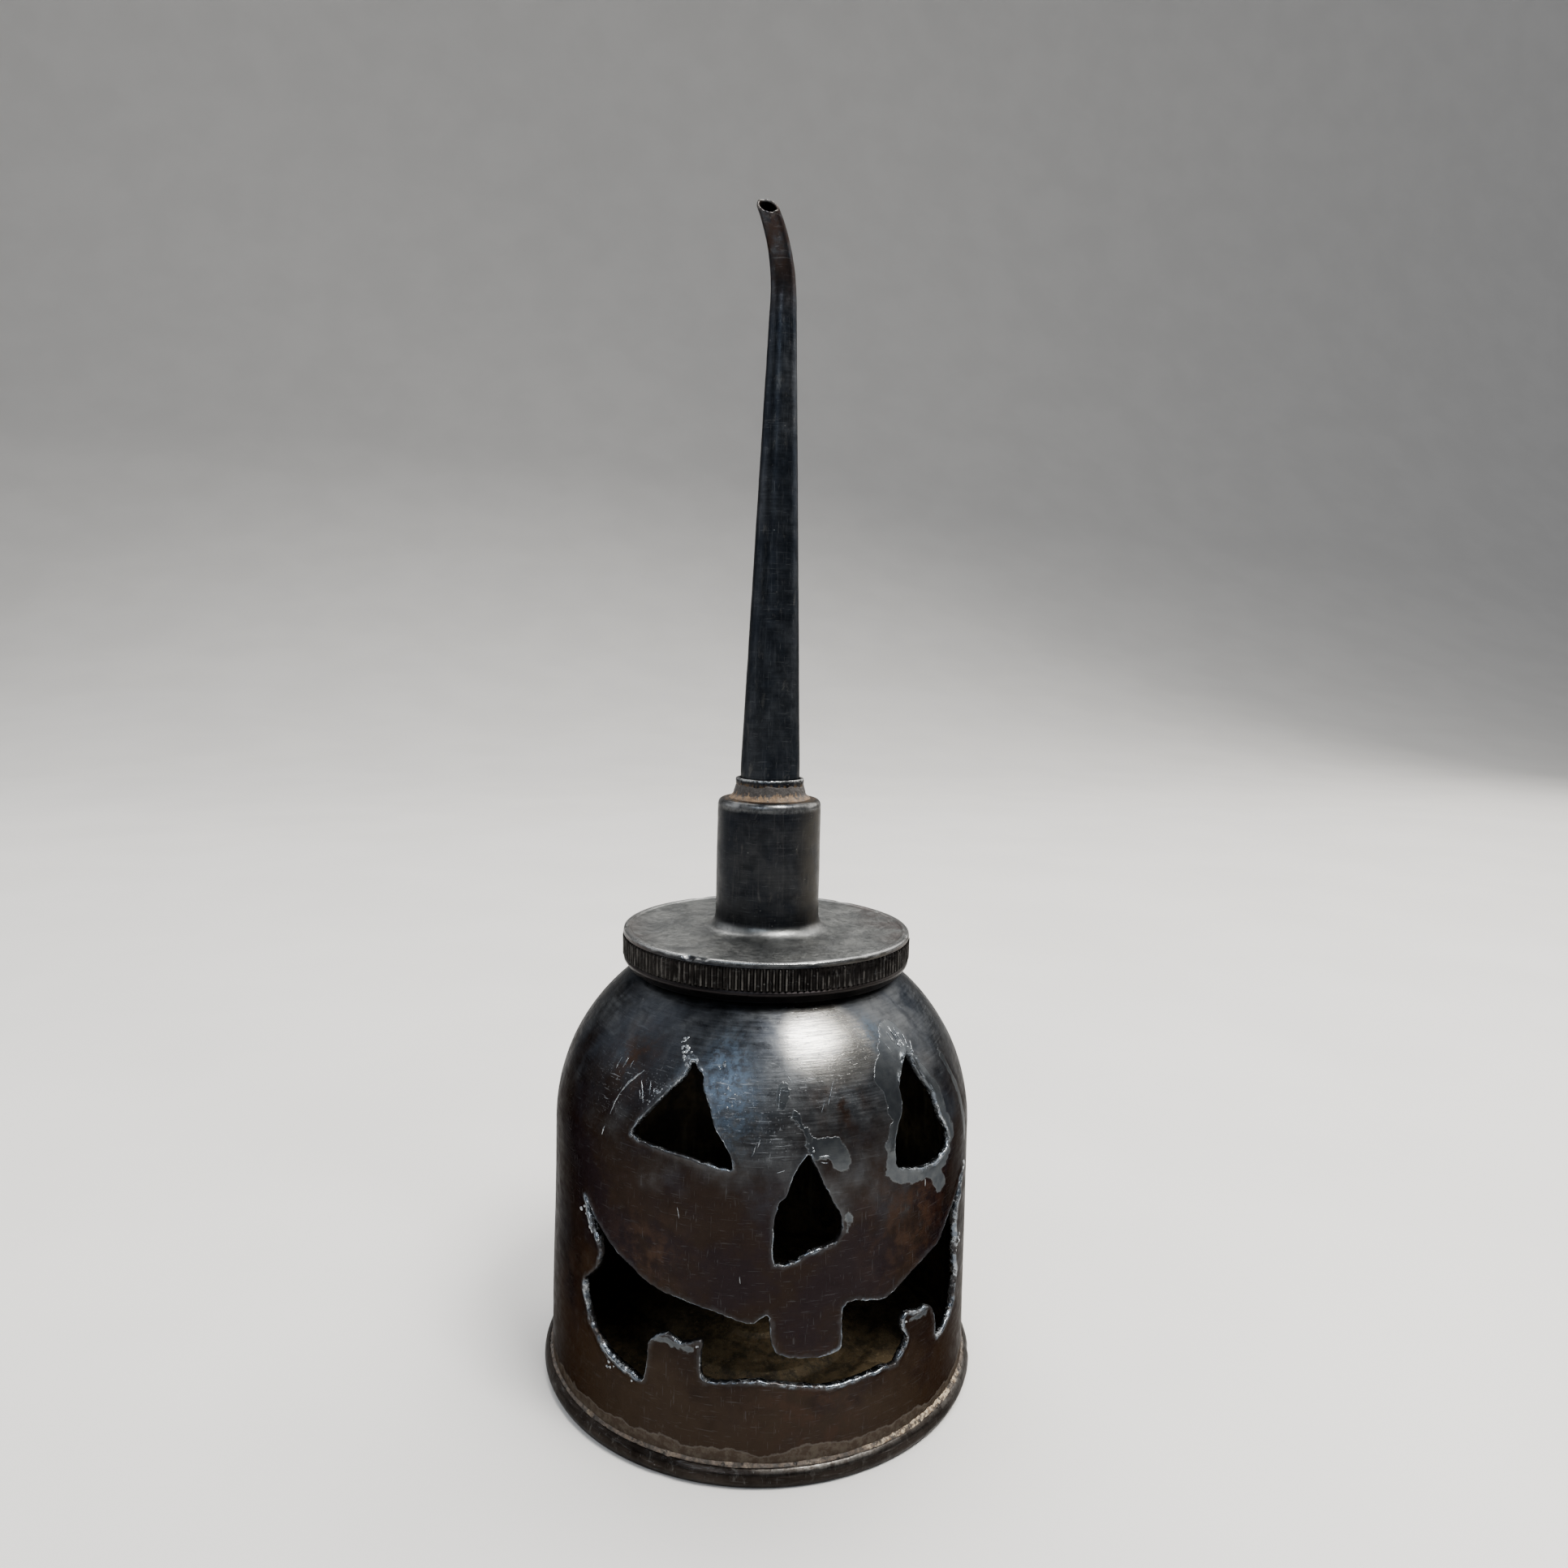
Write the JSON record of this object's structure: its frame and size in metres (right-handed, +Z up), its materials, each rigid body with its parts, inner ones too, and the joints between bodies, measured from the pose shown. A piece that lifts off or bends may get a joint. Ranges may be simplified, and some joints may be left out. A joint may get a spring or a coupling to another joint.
{
  "type": "oiler can lantern",
  "caption": "Bell-shaped steel bench oiler with a spring bottom and a screw-on cap with a tall bent spout, its wall cut open into a carved pumpkin face.",
  "frame": {"origin": "centre of the foot, on the surface it stands on", "axes": "+Z up along the can's axis, the cut-out face looks along -Y, +X to the face's right as a viewer in front sees it"},
  "size_m": [0.08, 0.08, 0.2054],
  "materials": {
    "blued_steel": "dark heat-tinted, satin, worn and scratched",
    "spring_steel": "dull, rust-brown film",
    "aged_solder": "dull, tan and rust stained",
    "worn_brass": "dull, oily",
    "oiled_leather": "dark, oil-soaked"
  },
  "bodies": {
    "can": {"can_body": "blued_steel", "bottom_rim": "blued_steel", "seam_solder": "aged_solder", "neck_ring": "worn_brass", "neck_solder": "aged_solder"},
    "press": {"bottom_button": "spring_steel", "bottom_diaphragm": "spring_steel"},
    "washer": {"gasket_washer": "oiled_leather"},
    "cap": {"spout_cap": "blued_steel", "cap_liner": "worn_brass", "spout_solder": "aged_solder", "spout_tube": "blued_steel"}
  },
  "joints": [
    {"name": "bottom_press", "type": "slide", "parent": "can", "child": "press", "axis": [0, 0, 1], "range_m": [0, 0.0025], "stiffness_N_per_m": 3000, "deforming": ["bottom_diaphragm"]},
    {"name": "cap_rise", "type": "slide", "parent": "can", "child": "washer", "axis": [0, 0, 1], "range_m": [0, 0.006]},
    {"name": "cap_turn", "type": "hinge", "parent": "washer", "child": "cap", "pos_m": [0, 0, 0.08], "axis": [0, 0, 1], "range_deg": [0, 1350]}
  ],
  "couplings": [
    {"joint": "cap_rise", "follows": "cap_turn", "m_per_rad": 0.00025464}
  ]
}
